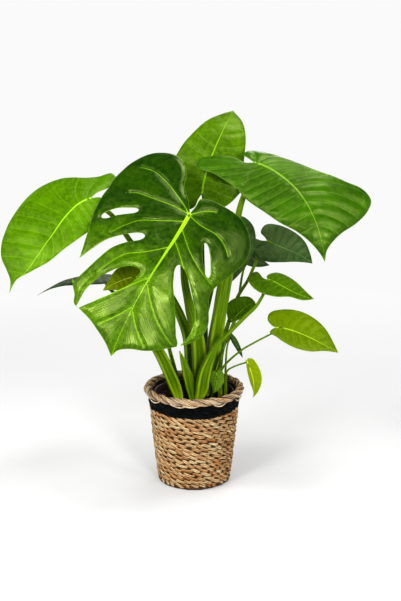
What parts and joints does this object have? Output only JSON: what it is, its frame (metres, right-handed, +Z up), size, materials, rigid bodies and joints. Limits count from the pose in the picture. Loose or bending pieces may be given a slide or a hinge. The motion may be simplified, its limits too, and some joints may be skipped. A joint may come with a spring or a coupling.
{
  "type": "potted monstera plant",
  "caption": "Young split-leaf monstera with broad glossy leaves on long green stalks, growing from soil in a plastic nursery pot inside a woven seagrass basket with a dark band",
  "frame": {"origin": "centre of the basket's flat underside, on the surface it stands on", "axes": "+Z up; -Y towards the viewer, the side that the large split leaf faces; +X to the viewer's right"},
  "size_m": [0.6299, 0.3121, 0.6384],
  "materials": {
    "seagrass": "rough twisted straw, tan with straw-coloured and reddish strands",
    "rim_seagrass": "rough braided straw rope",
    "black_seagrass": "dyed black straw, slightly glossy",
    "terracotta_plastic": "thin matt plastic",
    "soil": "dark crumbly potting soil",
    "leaf_green": "glossy living leaf with pale veins",
    "leaf_bright": "glossy bright young leaf",
    "leaf_dark": "glossy dark leaf",
    "stalk_green": "smooth fleshy stalk"
  },
  "bodies": {
    "root": {"basket_band": "black_seagrass", "basket_base": "seagrass", "basket_rim": "rim_seagrass", "basket_wall": "seagrass", "bud_stem": "leaf_dark", "leaf_back_left": "leaf_dark", "leaf_behind": "leaf_dark", "leaf_front": "leaf_green", "leaf_grey": "leaf_dark", "leaf_hanging": "leaf_bright", "leaf_in_pot": "leaf_green", "leaf_inner": "leaf_bright", "leaf_left": "leaf_bright", "leaf_low_right": "leaf_bright", "leaf_mid": "leaf_green", "leaf_mid_right": "leaf_green", "leaf_narrow": "leaf_dark", "leaf_right": "leaf_bright", "leaf_shade": "leaf_dark", "leaf_top": "leaf_green", "nursery_pot": "terracotta_plastic", "sheath": "stalk_green", "soil": "soil", "stalk_back_left": "stalk_green", "stalk_behind": "stalk_green", "stalk_front": "stalk_green", "stalk_grey": "stalk_green", "stalk_hanging": "stalk_green", "stalk_in_pot": "stalk_green", "stalk_inner": "stalk_green", "stalk_left": "stalk_green", "stalk_low_right": "stalk_green", "stalk_mid": "stalk_green", "stalk_mid_right": "stalk_green", "stalk_narrow": "stalk_green", "stalk_right": "stalk_green", "stalk_shade": "stalk_green", "stalk_top": "stalk_green"}
  },
  "joints": []
}
